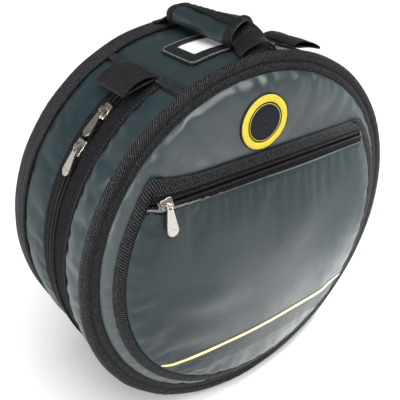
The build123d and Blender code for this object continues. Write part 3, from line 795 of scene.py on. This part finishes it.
seam_lines = []
for word, sign in (("left", -1), ("right", 1)):
    angle = sign * SEAM_ANGLE
    outward = polar(angle, 1.0, 0.0)
    y = np.linspace(-74.0, 57.6, 60)
    width = 1 + 0.03 * np.sin(y * 0.9) + 0.03 * np.cos(y * 0.37)
    section = oblong(8.2, SEAM_TOP - 197.0, 1.3) * width[:, None, None]
    seam = make(word + "_seam_band", swept(polar(angle, 197.0, y), section, outward), BAND)
    place(seam, OPENING, "black_webbing", word + "_cross_seam")
    for offset in (-0.85, 0.85):
        path = polar(angle + offset, SEAM_TOP + 0.02, np.linspace(-72, 56, 80))
        seam_lines.append((path, outward))
place(stitches("cross_seam_stitches", seam_lines, 3.8, 2.7, 0.4), OPENING, "black_webbing")

# --- card window ---

def even_loop(half_long, half_wide, corner):
    """A rounded rectangle as 160 even points (long, wide)."""
    points = closed(rounded(half_long, half_wide, corner, 12))
    s = lengths(points)
    return at_lengths(np.arange(160) / 160 * s[-1], s, points)


def on_top(long, wide, radius):
    """Points on the top panel, long along its arc and wide along the axis, and the way out."""
    angle = np.degrees(long / GUSSET)
    return polar(angle, radius, -11.0 + wide), polar(angle, 1.0, 0.0)


outer_loop = even_loop(53.0, 28.6, 7.0) + (0, WINDOW_SHIFT)
inner_loop = even_loop(38.6, 15.6, 2.5)
share, level = np.array([
    (0, 198.35), (0, 199.9), (0.03, 200.7), (0.10, 200.8), (0.17, 200.3), (0.5, 200.5),
    (0.84, 200.4), (0.93, 200.75), (1, 200.4), (1, 199.75), (0.8, 199.7), (0.13, 199.7),
    (0.12, 198.35)]).T
flat = outer_loop[:, None] * (1 - share[:, None]) + inner_loop[:, None] * share[:, None]
long, wide = flat[..., 0], flat[..., 1]
card_slot = (long > 40) & (np.abs(wide) < 18) & (level < TAPE_OUT)
level = np.where(card_slot, TAPE_OUT, level)
level = level + 0.2 * drift(long, wide, 81, 30) * np.sin(math.pi * share)
frame_mesh = grid(on_top(long, wide, level)[0], np.linspace(0, 320, 161),
                  np.linspace(0, 40, 14), ring=True, tube=True)
place(make("card_window", frame_mesh, TRIM), "body", "dark_trim", "card_window_frame")
eighths = np.radians(np.arange(8) * 45)
ROUND = np.stack([np.cos(eighths), np.sin(eighths)], -1)
bead_long, bead_wide = (even_loop(53.0, 28.6, 7.0) * (51.6 / 53.0, 27.2 / 28.6)).T
bead_path, bead_out = on_top(bead_long, bead_wide + WINDOW_SHIFT, 200.85)
bead = make("card_window_piping", swept(bead_path, 0.55 * ROUND, bead_out, ring=True), PIPING)
place(bead, "body", "dark_trim")
window_lines = []
for half_long, half_wide, shift in ((49.3, 24.8, WINDOW_SHIFT), (41.0, 18.0, 0.0)):
    long, wide = closed(even_loop(half_long, half_wide, 5.0)).T
    window_lines.append(on_top(long, wide + shift, 200.5))
place(stitches("card_window_stitches", window_lines, 3.2, 2.3, 0.32), "body", "dark_trim")

# --- handle ---
# The sleeve's rings: percent of its length and size; its ends turn in
SLEEVE = [(10, 0.62), (4, 0.66), (1, 0.74), (0, 0.86), (0.9, 0.95), (3, 0.985),
          (10, 1), (20, 1.03), (32, 1.045), (44, 1.05), (56, 1.05), (68, 1.045), (80, 1.03),
          (90, 1), (97, 0.985), (99.1, 0.95), (100, 0.86), (99, 0.74), (96, 0.66), (90, 0.62)]
around = np.arange(56) / 56 * TURN
OVAL = [np.sign(v) * np.abs(v) ** (2 / 2.6) for v in (np.cos(around), np.sin(around))]


def grip_ring(y, wide, high):
    """A ring of the sleeve, rolled over to its left towards the front."""
    share = (y - GRIP_FRONT) / GRIP_LONG
    roll = math.radians(38 * (1 - smooth(share * 1.15)))
    across, up = wide * OVAL[0], high * OVAL[1]
    x = across * math.cos(roll) - up * math.sin(roll)
    z = across * math.sin(roll) + up * math.cos(roll)
    middle = GRIP_Z - 0.8 * math.sin(math.pi * np.clip(share, 0, 1)) - 1.2 * share
    return np.stack([x + 1.5 * (1 - share), np.full(len(x), y), middle + z], -1)


def sleeve_ring(y, raise_by):
    """A ring that lies `raise_by` off the outside of the sleeve."""
    outside = np.array(SLEEVE[3:17]).T
    size = np.interp((y - GRIP_FRONT) / GRIP_LONG * 100, *outside)
    return grip_ring(y, GRIP_WIDE * size + raise_by, GRIP_HIGH * size + raise_by)


rows = np.array([grip_ring(GRIP_FRONT + share * GRIP_LONG / 100, GRIP_WIDE * size, GRIP_HIGH * size)
                 for share, size in SLEEVE])
rows[..., 2] += 0.3 * drift(rows[..., 0], rows[..., 1], 91, 24)
grip = tube("grip_sleeve", rows, lengths(rows[:, 0]), rows[6], GRIP_FABRIC)
grip_held = np.zeros(rows.shape[:2])
grip_held[:6] = grip_held[-6:] = 1
relax(grip, grip_held, 3.0, 0.012, 1.6, 14)
place(sewn(grip, 0), "handle", "coated_fabric", "handle_grip")
grip_pieces = [grip]

# Woven binding folded round each end of the sleeve: places along it, raised
for word, front in (("front", GRIP_FRONT + 1.0), ("back", GRIP_BACK - 9.5)):
    rings = np.array([sleeve_ring(front + at, raise_by) for at, raise_by in (
        (0.2, -1.8), (0, 0.4), (0.6, 1.1), (2, 1.5), (4.25, 1.65), (6.9, 1.5), (8.1, 1.2),
        (8.5, 0.5), (8.3, -1.0))])
    along = lengths(closed(rings[:, 0]))
    binding = tube("grip_end_" + word, rings, along, rings[4], STRAP, ring=True)
    grip_pieces.append(place(binding, "handle", "black_webbing", "grip_binding_" + word))
flap_y = np.linspace(GRIP_FRONT + 4, GRIP_BACK - 4, 60)
flap_rings = np.array([sleeve_ring(y, 1.2) for y in flap_y])
flap_path = flap_rings[:, 13].copy()
flap_out = np.cross(flap_rings[:, 14] - flap_rings[:, 12], (0, -1.0, 0))
flap_path[:, 2] += 0.25 * np.sin(flap_y * 0.55)
flap = make("grip_closure_binding", swept(flap_path, oblong(9.0, 1.9, 0.9) - (0, 1.0), flap_out),
            STRAP)
grip_pieces.append(place(flap, "handle", "black_webbing"))
grip_thread = stitches("grip_stitches", [(flap_path + unit(flap_out), flap_out)], 3.6, 2.6, 0.35)
grip_pieces.append(place(grip_thread, "handle", "black_webbing"))
for piece in grip_pieces:
    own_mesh(piece)


def softened(path, times):
    for _ in range(times):
        path[1:-1] = (path[:-2] + 2 * path[1:-1] + path[2:]) / 4
    return path


def strap(name, route, widths, sheet, curl, sides, rolls, seed):
    """Webbing along (y, z) points; its width, curl, place in x and roll change along it."""
    route = np.array(route, float)
    s = lengths(route)
    fine = np.linspace(0, s[-1], 90)
    path = softened(np.pad(at_lengths(fine, s, route), ((0, 0), (1, 0))), 6)
    width, bend, path[:, 0], roll = (np.interp(fine, s, v) for v in (widths, curl, sides, rolls))
    k = np.linspace(-0.5, 0.5, 15)
    side = np.concatenate([k, [0.52], k[::-1], [-0.52]])
    level = np.concatenate([np.ones(15), [0.5], np.zeros(15), [0.5]])
    across = side * width[:, None]
    out = (level - 0.5) * sheet - bend[:, None] * (2 * side) ** 2
    out = out + 0.22 * drift(across, fine[:, None], seed, 18)
    cos, sin = np.cos(np.radians(roll))[:, None], np.sin(np.radians(roll))[:, None]
    rows = np.stack([across * cos - out * sin, across * sin + out * cos], -1)
    up = np.cross(np.gradient(path, axis=0), (1.0, 0, 0))
    up[up[:, 2] < 0] *= -1
    up = np.where(np.abs(up[:, 2:]) < 1e-6, (0, -1.0, 0), up)
    return make(name, swept(path, rows, up), STRAP)


main_strap = strap("handle_strap", [
    (-71.5, 210.6), (-66, 211.4), (-59, 212.2), (-53, 213), (-48, 214), (-42, 214.6),
    (0, 214), (45, 213.4), (56, 212.8), (61, 211), (64.5, 208), (67, 205.2),
    (70, 204.5), (76, 204.4)],
    [47, 46, 41, 35, 29, 26, 26, 26, 27, 31, 35, 38, 41, 42], 1.8,
    [11.6, 11, 8, 4.4, 1.4, 0.2, 0, 0, 0.3, 0.8, 1.2, 1.4, 1.3, 1.2],
    [5, 5, 4, 3, 2, 1.5, 0.7, 0, 0, 0, 0, 0, 0, 0],
    [-4, -2, 6, 20, 34, 36, 16, 0, 0, 0, 0, 0, 0, 0], 95)
swaying = ("body", "handle", *world([(0, 0, 203), (0, 0, 213.5)]))
place(main_strap, swaying, "black_webbing", "handle_webbing")
fold_strap = strap("handle_strap_fold", [
    (-71.5, 203.4), (-64, 204), (-58.5, 205), (-54, 206.5), (-51, 208)],
    [37, 36, 34, 31, 28], 1.6, [4.4, 4.2, 3.4, 2.6, 2], [6, 6, 6, 5, 5], [0, 0, 2, 6, 10], 97)
place(fold_strap, "body", "black_webbing")

# --- strap loops ---

def strap_loop(body, side, outline, seed):
    """A folded tab of webbing: `outline` runs out along its top layer and back below, in
    mm from the seam and above the tape."""
    s = lengths(outline)
    fine = np.linspace(0, s[-1], 110)
    away, above = softened(at_lengths(fine, s, outline), 5).T
    path = polar(side * (SEAM_ANGLE + np.degrees(away / RIM)), 201.9 + above, -6.0)
    k = np.linspace(-26, 26, 23)
    section = np.concatenate([np.stack([k, np.full(23, 0.7)], -1), [(26.4, 0.0)],
                              np.stack([k[::-1], np.full(23, -0.7)], -1), [(-26.4, 0.0)]])
    rows = np.broadcast_to(section, (110,) + section.shape).copy()
    rows[..., 1] += 0.45 * drift(rows[..., 0], np.minimum(fine, s[-1] - fine)[:, None], seed, 30)
    obj = make(body, swept(path, rows, np.cross(np.gradient(path, axis=0), (0, 1.0, 0))), STRAP)
    bend = world(polar(side * (SEAM_ANGLE + np.array([0.6, 4.0])), [203.0, 205.0], -6.0))
    place(obj, ("body", body, *bend), "black_webbing", body.replace("_", "_strap_"))


strap_loop("left_loop", -1, [
    (0.3, 0.9), (4, 3.6), (9, 6.8), (15, 8.9), (21, 9.9), (27, 10.1), (32, 9.9), (35.2, 9.7),
    (36.4, 9.1), (36.4, 8.4), (35, 8), (30, 7.3), (24, 5.6), (15, 3.2), (8, 1.5), (0.3, 0.5)],
    101)
strap_loop("right_loop", 1, [
    (0.3, 1), (4, 4.4), (9, 7.8), (15, 10.4), (21, 12), (28, 13.4), (34, 14.2), (38, 14.6),
    (39.6, 13.9), (39.6, 12.8), (38, 12.2), (32, 10.6), (24, 7.8), (15, 4.6), (8, 2),
    (0.3, 0.5)], 103)

# --- pocket ---

def corner_rise(x):
    """The left end of the pocket's mouth is pulled up a little."""
    return 9.0 * smooth((-x - 62) / 78) ** 1.5


def fold_line(x):
    """The folded edge under the zipper: height and stand-off."""
    z = FOLD_Z + 0.35 * corner_rise(x) - 2.6 * np.exp(-((x - 45) / 62) ** 2)
    return z, MOUTH_STAND - 7.0 * smooth((np.abs(x) - 126) / 11)


def pocket_cover():
    """The pocket's slack cover, from its seam round the curve up to the fold."""
    radius = POCKET_EDGE + 0.6
    x, z = disc(84, radius)
    fold_z, fold_stand = fold_line(x)
    top = np.sqrt(np.maximum(radius ** 2 - x ** 2, 1e-6))
    z = np.where(z > 0, z * np.minimum(1, fold_z / top), z)
    r, a = np.hypot(x, z), np.degrees(np.arctan2(x, z)) % 360
    below = fold_z - z

    inner = POCKET_EDGE - 26
    t = np.clip((r - inner) / 26, 0, 1)
    edge = 3.4 + (MOUTH_STAND - 3.4) * np.sqrt(np.maximum(0, 1 - t ** 2))
    crown = (4.3 + 3.0 * smooth((70 - z) / 110)) * np.clip(1 - (r / inner) ** 2, 0, 1)
    h = PLATEAU + np.where(r < inner, MOUTH_STAND + crown, edge)

    seam = np.exp(-np.clip(radius - 3 - r, 0, None) / 8) * smooth((radius - r) / 3)
    h += 0.9 * ripple(a, 111, 30, 80, 12) * seam
    mouth = np.exp(-np.clip(below - 5, 0, None) / 12) * smooth(below / 5)
    h += 0.75 * ripple(x * 1.1, 113, 18, 46, 12) * mouth
    left = smooth((-x - 20) / 90) * smooth((20 - z) / 60) * smooth((radius - r) / 30)
    h += 1.5 * np.cos((x * 0.35 + z * 0.94) / 7.2 + 0.6 * np.sin(x / 21)) * left
    h += 1.0 * drift(x, z, 115, 120) * smooth((radius - r) / 40) * smooth(below / 25)
    join = smooth(1 - below / 3.0)
    h = h * (1 - join) + (PLATEAU + fold_stand) * join

    held = ((r > radius - 2.0) | (below < 1.0)).astype(float)
    held[(below < 6.5) & (held < 1)] = 0.5
    obj = even_sheet("pocket_cover", np.stack([x, -h, z], -1), 330, POCKET_FABRIC, -1)
    relax(obj, held, 1.6, 0.012, 5.0)
    return sewn(obj)


pocket = place(pocket_cover(), "lid", "coated_fabric", "pocket_panel")

fold_x = np.linspace(-137.5, 137.5, 150)
fold_z, fold_stand = fold_line(fold_x)
fold_z = fold_z + 0.3 + 0.18 * ripple(fold_x, 117, 20, 60)
fold_path = np.stack([fold_x, 0.2 - PLATEAU - fold_stand, fold_z], -1)
# The fold's light grey colour is a painted highlight along the rolled edge.
fold = make("pocket_fold", swept(fold_path, 1.25 * ROUND, (0, -0.7, 0.7)), FOLD_HIGHLIGHT_FABRIC)
place(fold, "lid", "coated_fabric")


def slope_point(x, share, lift):
    """A point on the sloping mouth: share 0 at its top edge, 1 at the fold."""
    fold_stand = fold_line(x)[1]
    z = MOUTH_Z + (FOLD_Z - MOUTH_Z) * share + corner_rise(x) * (1 - share) ** 2
    y = -PLATEAU - 1.3 - fold_stand * share
    return np.stack(np.broadcast_arrays(x, y + SLOPE_Y * lift, z + SLOPE_Z * lift), -1)


def mouth_strip(name, top, bottom, section, material, inset, *nodes):
    """A strip on the mouth between two shares, from a section of (share of it, lift)."""
    across, lifts = np.array(section).T
    shares = top + (bottom - top) * across
    reach = np.sqrt((POCKET_EDGE + 1.2) ** 2 - (MOUTH_Z + (FOLD_Z - MOUTH_Z) * shares) ** 2) - inset
    t = np.linspace(-1, 1, 170)[:, None]
    lift = lifts + 0.15 * ripple(t * 160, 121, 20, 60) * (lifts > 0)
    outline = np.stack([shares * SLOPE_LONG, lifts], -1)
    strip = tube(name, slope_point(t * reach, shares, lift), (t[:, 0] + 1) * 135, outline, material)
    place(strip, "lid", "black_webbing", *nodes)


mouth_strip("pocket_top_band", -0.03, 0.42, [
    (0, -0.9), (-0.02, 0.3), (0.04, 1), (0.5, 1.25), (0.93, 1.05), (1, 0.5), (1, -0.2),
    (0.5, -0.9)], BAND, 0)
mouth_strip("pocket_tape_upper", 0.40, 0.628, [
    (0, -0.9), (0, 0.1), (0.5, 0.15), (1, 0.05), (1, -0.9)], TAPE, 0.8, "pocket_upper_tape")
mouth_strip("pocket_tape_lower", 0.692, 0.985, [
    (0, -0.9), (0, 0.05), (0.5, 0.15), (1, 0), (1, -0.9)], TAPE, 0.8, "pocket_lower_tape")

chain_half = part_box("pocket_upper_coil")[1][0] / MM


def pocket_chain(s):
    return slope_point(s - chain_half, 0.66, 0.28), SLOPE_UP, SLOPE_OUT


POCKET_COIL = (1.8, 2.1, 1.45, 0.7, 2.0)
for word, side in (("upper", 1), ("lower", -1)):
    coil = coil_loops(pocket_chain, 2 * chain_half, *POCKET_COIL, side)
    place(make("pocket_coil_" + word, coil, COIL), "lid", "zipper_coil", "pocket_%s_coil" % word)


def pocket_binding():
    """Woven binding round the pocket's curve, drawn in a little at its stitches."""
    section = np.array([
        (165, 90.2), (164.6, 92.2), (165.4, 93.6), (167.4, 94.3), (170.4, 94.2), (173.4, 93.4),
        (175.2, 92), (175.9, 90.6), (175.6, 89.4), (170.4, 89.2), (166, 89.2)])
    r, h = section.T
    limits = []
    for side in (-1, 1):
        angle = np.full(len(r), 46.0)
        for _ in range(12):
            top = MOUTH_Z + 1.2 + corner_rise(side * r * np.sin(np.radians(angle)))
            angle = np.degrees(np.arccos(top / r))
        limits.append(angle if side > 0 else 360 - angle)
    angles = limits[0] + np.linspace(0, 1, 420)[:, None] * (limits[1] - limits[0])
    radius = r + 0.3 * ripple(angles, 131, 50, 110, 12) * (r > 173)
    radius = radius + 2.2 * smooth((angles - 296) / 18)
    stand = h + 0.25 * ripple(angles, 132, 30, 90, 12) * (h > 92)
    along = np.radians(angles.mean(1)) * 170
    return tube("pocket_edge_binding", polar(angles, radius, -stand), along, section, BAND)


place(pocket_binding(), "lid", "black_webbing", "pocket_binding")

# --- pieces laid on the covers ---

def outer_face(obj):
    """Finds the y of a cover's outer face, in mm, at places x and z."""
    tree = BVHTree.FromPolygons([v.co for v in obj.data.vertices],
                                [p.vertices[:] for p in obj.data.polygons])

    def face_at(x, z, default):
        starts = world(np.stack([np.ravel(x), np.full(np.size(x), -300.0), np.ravel(z)], -1))
        hits = [tree.ray_cast(Vector(start), Vector((0, 1, 0)))[0] for start in starts]
        y = [default if hit is None else hit.y / MM - SHIFT for hit in hits]
        return np.reshape(y, np.shape(x))
    return face_at


panel_at = outer_face(front_cover)
pocket_at = outer_face(pocket)


def laid_ring(name, radii, lifts, material, slot, segments, detail, *nodes):
    """A round patch on the panel from rings of (radius, lift), closed underneath."""
    angles = np.arange(segments) / segments * TURN
    radii, lifts = np.array(radii), np.array(lifts)
    x = BADGE[0] + radii * np.sin(angles)[:, None]
    z = BADGE[1] + radii * np.cos(angles)[:, None]
    y = panel_at(x, z, -PLATEAU)
    y = y.mean(0, keepdims=True) * 0.35 + y * 0.65
    thread = detail * (np.arange(segments) % 2)[:, None] * (lifts > 0.6)
    points = np.stack([x, y - lifts - thread, z], -1)
    patch = tube(name, points, np.append(angles, TURN) * 25, np.stack([radii, lifts], -1), material,
                 ring=True)
    place(patch, "lid", slot, *nodes)


laid_ring("badge_centre", [0.05, 4, 8, 12, 16, 19, 20.6, 20.6, 12, 0.05],
          [1.15, 1.15, 1.15, 1.15, 1.1, 1, 0.9, 0.1, 0.1, 0.1], NAVY, "badge_navy", 120, 0,
          "badge_patch")
laid_ring("badge_ring", [20.4, 20.5, 21.4, 23.8, 26.4, 27.4, 27.5, 24],
          [0.1, 1.3, 1.6, 1.7, 1.6, 1.3, 0.1, 0.1], YELLOW, "badge_yellow", 360, 0.1,
          "badge_border")
laid_ring("badge_edge", [27.2, 27.4, 28, 28.7, 28.9, 28], [0.05, 1.2, 1.6, 1.2, 0.05, 0.05],
          COIL, "badge_navy", 300, 0.15)
laid_ring("badge_inner_line", [18.2, 18.3, 18.7, 18.8, 18.5], [1, 1.3, 1.3, 1, 0.9],
          YELLOW, "badge_yellow", 200, 0.05)


def stripe(name, z_middle, half_wide, lift, sheet, material, *nodes):
    """A thin strip across the pocket, laid on its cover: the trims, and the band of painted shadow
    beside the stripe.
    """
    end = math.sqrt(POCKET_EDGE ** 2 - z_middle ** 2) - 2.0
    section = np.array([(-1, 0.0), (-1, 1.0), (0, 1.15), (1, 1.0), (1, 0.0)])
    x, z = np.broadcast_arrays(np.linspace(-end, end, 130)[:, None],
                               z_middle + half_wide * section[:, 0])
    y = pocket_at(x, z, -PLATEAU - 8) - lift - sheet * (section[:, 1] - 0.9)
    trim = tube(name, np.stack([x, y, z], -1), x[:, 0], section * half_wide, material)
    place(trim, "lid", "stripe_cream", *nodes)


stripe("stripe_core", STRIPE_Z, 1.8, 0.6, 0.6, CREAM, "stripe_trim")
# The wider band under the stripe shows as painted shadow along both its edges.
stripe("stripe_shadow_band", STRIPE_Z, 3.4, 0.35, 0.45, STRIPE_SHADOW)
for k in range(5):
    stripe("pin_line_%d" % k, -104.0 - 4.6 * k, 0.55, 0.1, 0.3, TRIM)

arc = np.linspace(53, 310, 500)
pocket_seams = [(polar(arc, 166.6, -94.05), (0, -1, 0)), (polar(arc, 174.2, -93.05), (0, -1, 0))]
x = np.linspace(-128, 128, 200)
for share in (0.03, 0.385):
    pocket_seams.append((slope_point(x, share, 1.15), SLOPE_OUT))
z = fold_line(x)[0] - 5.0
pocket_seams.append((np.stack([x, pocket_at(x, z, -102) - 0.1, z], -1), (0, -1, 0)))
place(stitches("pocket_stitches", pocket_seams, 4.0, 2.9, 0.42), "lid", "black_webbing")

# --- CAD nodes that stay ---
KEPT = {node: NICKEL for node in (
    "main_zipper_stops", "pocket_zipper_stops", "upper_slider", "upper_pull", "lower_slider",
    "lower_pull", "pocket_slider", "pocket_pull")}
for node, material in {**KEPT, "card_window_film": FILM, "identity_card": CARD}.items():
    materials = frame["nodes"][node].data.materials
    materials.clear()
    materials.append(material)

# --- floor, lights ---
floor_mesh = bpy.data.meshes.new("floor")
floor_mesh.from_pydata([(-6, -6, 0), (6, -6, 0), (6, 6, 0), (-6, 6, 0)], [], [(0, 1, 2, 3)])
floor_mesh.materials.append(shader("floor", (0.92, 0.92, 0.92), 0.6)[0])
linked("floor", floor_mesh)


def aimed_light(name, kind, place_at, aim, **settings):
    obj = linked(name, set_all(bpy.data.lights.new(name, kind), **settings))
    turn = (Vector(aim) - Vector(place_at)).to_track_quat("-Z", "Y")
    set_all(obj, location=place_at, rotation_mode="QUATERNION", rotation_quaternion=turn)


aimed_light("overhead", "SUN", (0.12, -0.7, 1.6), (0, 0, 0.1), energy=3.5, angle=math.radians(60))
aimed_light("floor_pool", "SPOT", (0.25, -0.24, 0.8), (0.18, -0.15, 0), energy=80,
            spot_size=math.radians(38), spot_blend=1.0, shadow_soft_size=0.08)
aimed_light("left_strip", "AREA", (-1.25, 0.0, 0.6), (0, 0, 0.25), energy=12, shape="RECTANGLE",
            size=0.3, size_y=0.9)
world_data = bpy.data.worlds.new("studio")
world_data.use_nodes = True
tree = world_data.node_tree
height = add("ShaderNodeSeparateXYZ", {"Vector": coordinates(tree, "Generated")}).outputs["Z"]
sky = ramp(height, (0.06, (0.9, 0.9, 0.9)), (0.3, (0.2, 0.2, 0.2)))
feed(tree.nodes["Background"], {"Color": sky})
bpy.context.scene.world = world_data
bpy.context.scene.view_settings.view_transform = "Standard"
